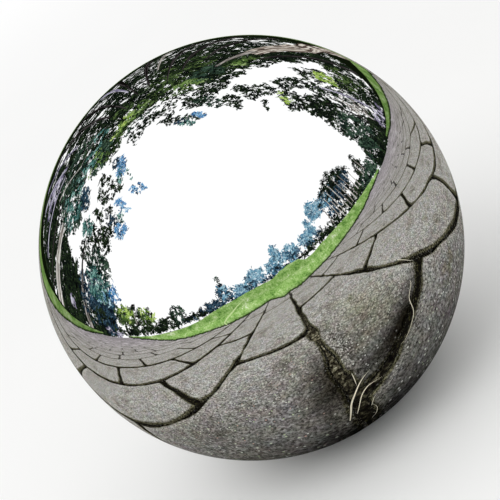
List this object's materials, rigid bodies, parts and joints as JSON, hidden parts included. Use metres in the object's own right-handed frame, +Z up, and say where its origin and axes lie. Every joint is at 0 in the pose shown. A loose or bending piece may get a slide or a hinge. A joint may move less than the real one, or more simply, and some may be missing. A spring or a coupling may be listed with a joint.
{
  "type": "garden sphere",
  "caption": "Hollow mirror-polished steel garden sphere on a small flat foot, with a screw plug underneath that closes its ballast chamber.",
  "frame": {"origin": "centre of the flat foot, in the plane that the ball stands on", "axes": "+Z up through the ball's centre and along the filler plug's thread; X and Y are free, because the ball is round"},
  "size_m": [0.25, 0.25, 0.2463],
  "materials": {
    "mirror_steel": "polished",
    "turned_steel": "satin",
    "weld_steel": "satin",
    "seal_rubber": "matte"
  },
  "bodies": {
    "ball": {"upper_shell": "mirror_steel", "lower_shell": "mirror_steel", "seam_weld": "mirror_steel", "seam_backing_ring": "weld_steel", "base_boss": "turned_steel", "base_weld": "weld_steel"},
    "seal": {"plug_seal": "seal_rubber"},
    "plug": {"filler_plug": "turned_steel"}
  },
  "joints": [
    {"name": "plug_travel", "type": "slide", "parent": "ball", "child": "seal", "axis": [0, 0, -1], "range_m": [0, 0.045]},
    {"name": "plug_turn", "type": "hinge", "parent": "seal", "child": "plug", "pos_m": [0, 0, 0], "axis": [0, 0, -1], "range_deg": [0, 5401]}
  ],
  "couplings": [
    {"joint": "plug_turn", "follows": "plug_travel", "rad_per_m": 2094.4}
  ]
}
